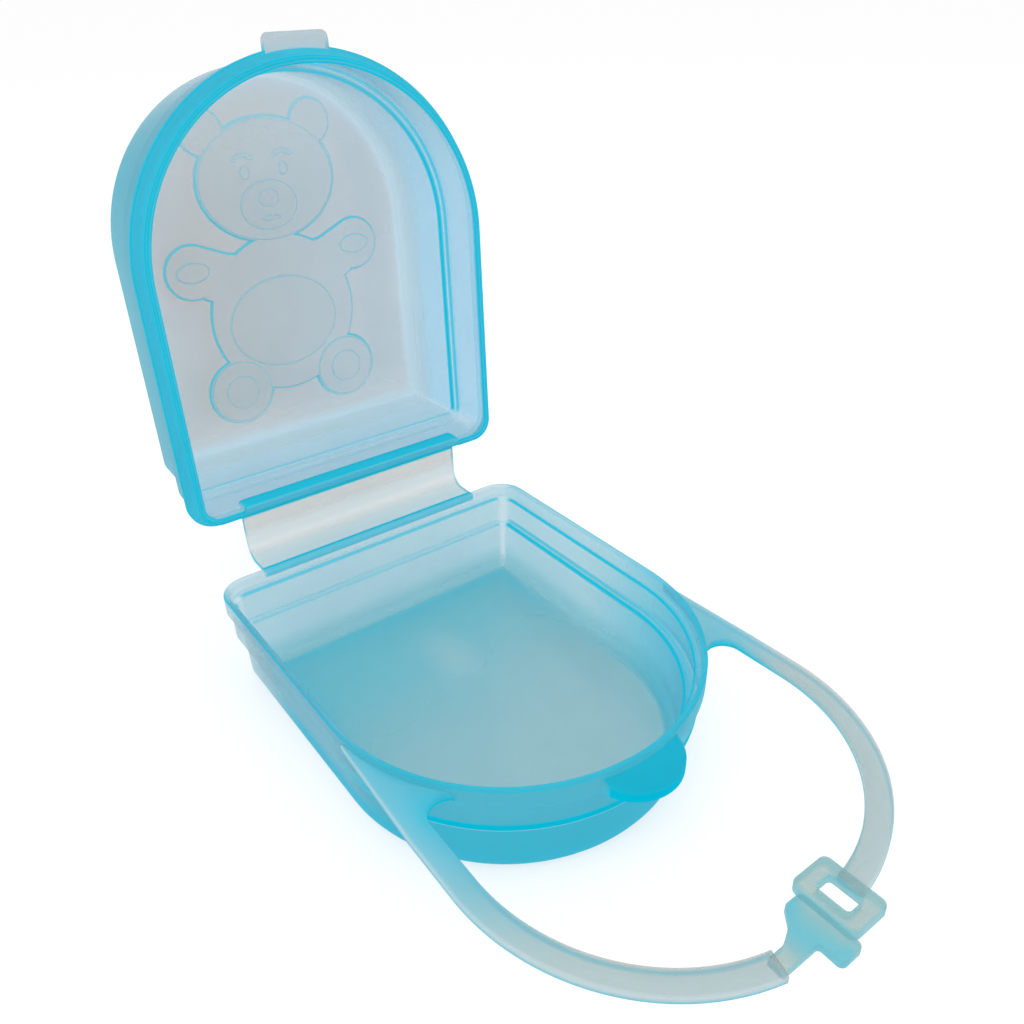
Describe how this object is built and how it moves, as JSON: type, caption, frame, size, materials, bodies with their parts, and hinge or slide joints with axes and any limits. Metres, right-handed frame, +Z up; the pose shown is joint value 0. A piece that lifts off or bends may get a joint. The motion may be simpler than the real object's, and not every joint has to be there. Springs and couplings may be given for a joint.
{
  "type": "pacifier sterilizer case",
  "caption": "Hinged translucent plastic case for a pacifier, with a stepped tray and lid, a wide flexible hinge strap, and a carry loop closed by a push-through clasp.",
  "frame": {"origin": "centre of the face the tray rests on, midway between its hinge side and its front", "axes": "+Z up, +X to the right seen from the front, +Y from the front thumb block to the hinge"},
  "size_m": [0.0638, 0.1364, 0.101],
  "materials": {
    "cyan_shell": "translucent natural polypropylene tinted light cyan, satin, thin walls",
    "cyan_solid": "the same translucent polypropylene where it is thick, so it reads as saturated cyan",
    "cyan_strap": "the same translucent polypropylene as flat straps, greyer on the face and cyan at the edges",
    "cyan_film": "the same translucent polypropylene as a thin flexible film, nearly colourless"
  },
  "bodies": {
    "tray_body": {"tray": "cyan_shell", "thumb_block": "cyan_solid", "tray_hinge_bar": "cyan_solid", "left_arm_root": "cyan_strap", "right_arm_root": "cyan_strap", "strap_tray_half": "cyan_film"},
    "lid_body": {"lid": "cyan_shell", "lid_hinge_bar": "cyan_solid", "thumb_tab": "cyan_shell", "bear_relief": "cyan_shell", "strap_lid_half": "cyan_film"},
    "left_arm_body": {"left_arm": "cyan_strap"},
    "tongue_body": {"clasp_tongue": "cyan_solid"},
    "right_arm_body": {"right_arm": "cyan_strap", "clasp_buckle": "cyan_solid"}
  },
  "joints": [
    {"name": "lid_swing", "type": "hinge", "parent": "tray_body", "child": "lid_body", "pos_m": [0, 0.04289, 0.01958], "axis": [1, 0, 0], "range_deg": [-60, 91.7], "stiffness_Nm_per_rad": 0.08},
    {"name": "loop_swing", "type": "hinge", "parent": "tray_body", "child": "right_arm_body", "pos_m": [0, -0.02814, 0.0173], "axis": [1, 0, 0], "range_deg": [-75, 15], "stiffness_Nm_per_rad": 0.05},
    {"name": "loop_swing_left", "type": "hinge", "parent": "tray_body", "child": "left_arm_body", "pos_m": [0, -0.02814, 0.0173], "axis": [1, 0, 0], "range_deg": [-75, 15], "stiffness_Nm_per_rad": 0.05},
    {"name": "tongue_bend", "type": "hinge", "parent": "left_arm_body", "child": "tongue_body", "pos_m": [-0.00835, -0.066, 0.01501], "axis": [0, 0.9998, 0.0209], "range_deg": [0, 30], "stiffness_Nm_per_rad": 0.01}
  ],
  "couplings": [
    {"joint": "loop_swing_left", "follows": "loop_swing", "ratio": 1}
  ]
}
